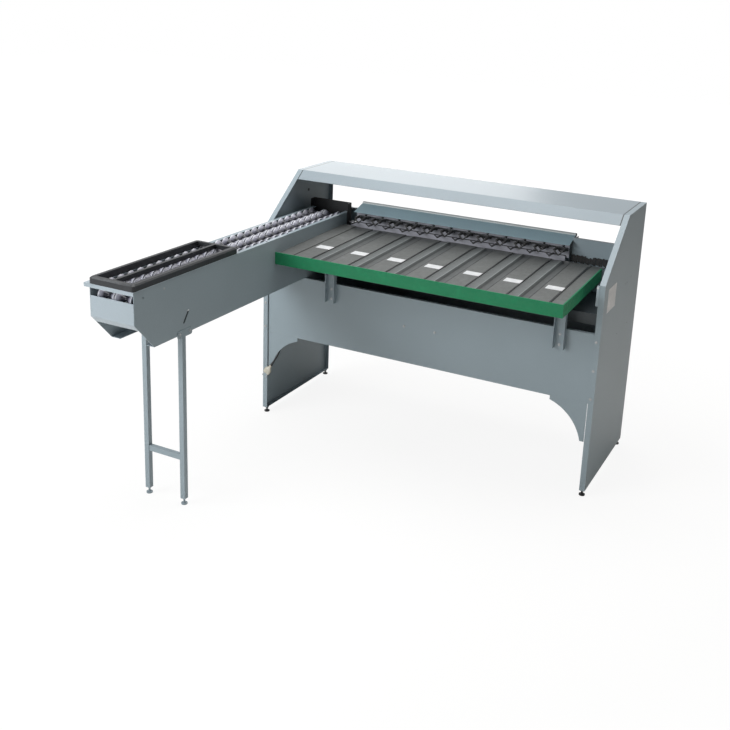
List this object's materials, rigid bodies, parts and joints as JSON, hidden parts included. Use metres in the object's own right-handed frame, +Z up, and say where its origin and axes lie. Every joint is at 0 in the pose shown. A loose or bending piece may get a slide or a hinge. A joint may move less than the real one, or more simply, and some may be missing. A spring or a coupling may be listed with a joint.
{
  "type": "egg grading machine",
  "caption": "Egg grading machine with a two-row roller infeed, a row of weighing cups and a sloped collection table with lanes, in a sheet-metal body on feet.",
  "frame": {"origin": "bottom centre of the whole machine's box, on the floor", "axes": "+X along the machine from the infeed to the last lane, +Y from the front to the back, +Z up; the infeed conveyor reaches out along -Y"},
  "size_m": [1.5, 1.6616, 1.079],
  "materials": {
    "paint": "satin",
    "dark_paint": "satin",
    "pale_paint": "satin",
    "steel": "brushed",
    "zinc": "satin",
    "green_strip": "matte",
    "black_plastic": "matte",
    "black_metal": "satin",
    "rubber": "matte",
    "nylon": "matte",
    "beige_plastic": "satin"
  },
  "bodies": {
    "frame": {"side_panel_left": "paint", "side_panel_right": "paint", "canopy": "paint", "front_panel": "paint", "rear_panel": "paint", "gusset_left": "paint", "gusset_right": "paint", "conveyor_side_left": "paint", "table_bracket_left": "paint", "table_bracket_right": "paint", "scale_cover": "paint", "lane_back_panel": "paint", "base_pan": "dark_paint", "mechanism_deck": "dark_paint", "conveyor_side_right": "dark_paint", "infeed_end_stop": "dark_paint", "scale_end_plate_left": "dark_paint", "scale_end_plate_right": "dark_paint", "gearmotor": "dark_paint", "conveyor_end_panel": "pale_paint", "loading_shelf": "pale_paint", "leg_frame": "pale_paint", "collection_table": "steel", "lane_divider_1": "steel", "lane_divider_2": "steel", "lane_divider_3": "steel", "lane_divider_4": "steel", "lane_divider_5": "steel", "lane_divider_6": "steel", "foot_front_left": "zinc", "foot_front_right": "zinc", "foot_rear_left": "zinc", "foot_rear_right": "zinc", "pivot_shaft": "zinc", "table_bumper": "green_strip", "loading_frame": "black_plastic", "terminal_box": "black_plastic", "lane_flap": "rubber", "cord_coil": "rubber", "cord_tail": "rubber", "plug": "beige_plastic"},
    "roller_run": {"roller_run": "nylon"},
    "tail_reel": {"tail_reel": "nylon"},
    "head_reel": {"head_reel": "nylon"},
    "lift_frame": {"lift_frame": "zinc"},
    "walking_beam": {"walking_beam": "zinc", "beam_forks": "black_metal"},
    "crank": {"crank_disc": "zinc"},
    "cup_01": {"weighing_cup_01": "black_metal"},
    "cup_02": {"weighing_cup_02": "black_metal"},
    "cup_03": {"weighing_cup_03": "black_metal"},
    "cup_04": {"weighing_cup_04": "black_metal"},
    "cup_05": {"weighing_cup_05": "black_metal"},
    "cup_06": {"weighing_cup_06": "black_metal"},
    "cup_07": {"weighing_cup_07": "black_metal"},
    "cup_08": {"weighing_cup_08": "black_metal"},
    "cup_09": {"weighing_cup_09": "black_metal"},
    "cup_10": {"weighing_cup_10": "black_metal"},
    "cup_11": {"weighing_cup_11": "black_metal"},
    "cup_12": {"weighing_cup_12": "black_metal"}
  },
  "joints": [
    {"name": "run_advance", "type": "slide", "parent": "frame", "child": "roller_run", "axis": [0, 1, 0], "range_m": [0, 0.0508]},
    {"name": "tail_turn", "type": "hinge", "parent": "frame", "child": "tail_reel", "pos_m": [0, -0.7497, 0.8332], "axis": [-1, 0, 0], "range_deg": [0, 60]},
    {"name": "head_turn", "type": "hinge", "parent": "frame", "child": "head_reel", "pos_m": [0, 0.5711, 0.8332], "axis": [-1, 0, 0], "range_deg": [0, 60]},
    {"name": "beam_lift", "type": "slide", "parent": "frame", "child": "lift_frame", "axis": [0, 0, 1], "range_m": [0, 0.012]},
    {"name": "beam_walk", "type": "slide", "parent": "lift_frame", "child": "walking_beam", "axis": [1, 0, 0], "range_m": [0, 0.0825]},
    {"name": "crank_turn", "type": "hinge", "parent": "frame", "child": "crank", "pos_m": [-0.07, 0.5245, 0.4606], "axis": [0, 1, 0], "continuous": true},
    {"name": "cup_01_tip", "type": "hinge", "parent": "frame", "child": "cup_01", "pos_m": [-0.4195, 0.6198, 0.905], "axis": [1, 0, 0], "range_deg": [0, 8]},
    {"name": "cup_02_tip", "type": "hinge", "parent": "frame", "child": "cup_02", "pos_m": [-0.337, 0.6198, 0.905], "axis": [1, 0, 0], "range_deg": [0, 8]},
    {"name": "cup_03_tip", "type": "hinge", "parent": "frame", "child": "cup_03", "pos_m": [-0.2545, 0.6198, 0.905], "axis": [1, 0, 0], "range_deg": [0, 8]},
    {"name": "cup_04_tip", "type": "hinge", "parent": "frame", "child": "cup_04", "pos_m": [-0.172, 0.6198, 0.905], "axis": [1, 0, 0], "range_deg": [0, 8]},
    {"name": "cup_05_tip", "type": "hinge", "parent": "frame", "child": "cup_05", "pos_m": [-0.0895, 0.6198, 0.905], "axis": [1, 0, 0], "range_deg": [0, 8]},
    {"name": "cup_06_tip", "type": "hinge", "parent": "frame", "child": "cup_06", "pos_m": [-0.007, 0.6198, 0.905], "axis": [1, 0, 0], "range_deg": [0, 8]},
    {"name": "cup_07_tip", "type": "hinge", "parent": "frame", "child": "cup_07", "pos_m": [0.0755, 0.6198, 0.905], "axis": [1, 0, 0], "range_deg": [0, 8]},
    {"name": "cup_08_tip", "type": "hinge", "parent": "frame", "child": "cup_08", "pos_m": [0.158, 0.6198, 0.905], "axis": [1, 0, 0], "range_deg": [0, 8]},
    {"name": "cup_09_tip", "type": "hinge", "parent": "frame", "child": "cup_09", "pos_m": [0.2405, 0.6198, 0.905], "axis": [1, 0, 0], "range_deg": [0, 8]},
    {"name": "cup_10_tip", "type": "hinge", "parent": "frame", "child": "cup_10", "pos_m": [0.323, 0.6198, 0.905], "axis": [1, 0, 0], "range_deg": [0, 8]},
    {"name": "cup_11_tip", "type": "hinge", "parent": "frame", "child": "cup_11", "pos_m": [0.4055, 0.6198, 0.905], "axis": [1, 0, 0], "range_deg": [0, 8]},
    {"name": "cup_12_tip", "type": "hinge", "parent": "frame", "child": "cup_12", "pos_m": [0.488, 0.6198, 0.905], "axis": [1, 0, 0], "range_deg": [0, 8]}
  ],
  "couplings": [
    {"joint": "tail_turn", "follows": "run_advance", "rad_per_m": 20.61},
    {"joint": "head_turn", "follows": "run_advance", "rad_per_m": 20.61}
  ]
}
